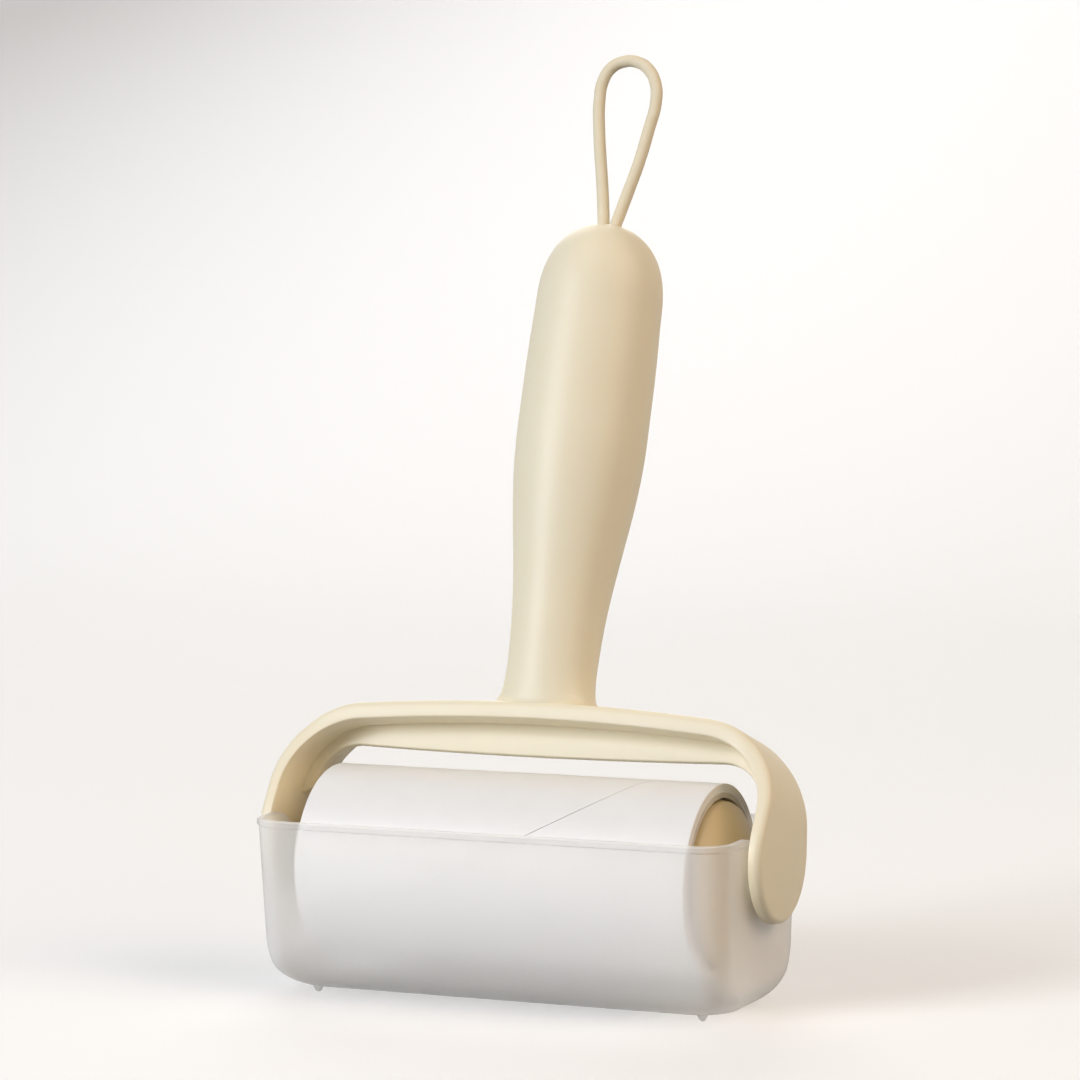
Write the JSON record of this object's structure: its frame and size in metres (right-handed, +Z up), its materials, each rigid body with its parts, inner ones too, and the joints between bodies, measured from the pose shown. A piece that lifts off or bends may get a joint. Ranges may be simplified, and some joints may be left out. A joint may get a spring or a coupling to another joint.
{
  "type": "sticky pet hair roller",
  "caption": "Hand-held sticky paper roller for lifting pet hair, with an arched strap frame, a long rounded handle, a hanging loop and a frosted dust cover that it stands in.",
  "frame": {"origin": "middle of the cover's base, on the surface that its feet stand on", "axes": "+Z up, +X along the roller to the right, +Y to the back, the way the handle leans"},
  "size_m": [0.1302, 0.0952, 0.2241],
  "materials": {
    "frosted_cover": "satin",
    "cream_plastic": "matte",
    "drum_plastic": "matte",
    "core_board": "matte",
    "sticky_paper": "matte",
    "loop_cord": "matte"
  },
  "bodies": {
    "cover": {"dust_cover": "frosted_cover"},
    "frame": {"arch_frame": "cream_plastic", "handle_grip": "cream_plastic", "hang_loop": "loop_cord", "cord_knot": "loop_cord"},
    "roller": {"roller_drum": "drum_plastic", "drum_cap_left": "drum_plastic", "drum_cap_right": "drum_plastic", "paper_core": "core_board", "sticky_paper_roll": "sticky_paper"}
  },
  "joints": [
    {"name": "lift_off", "type": "slide", "parent": "cover", "child": "frame", "axis": [0, 0, 1], "range_m": [0, 0.06]},
    {"name": "roll_spin", "type": "hinge", "parent": "frame", "child": "roller", "pos_m": [0, 0, 0.0306], "axis": [1, 0, 0], "continuous": true}
  ]
}
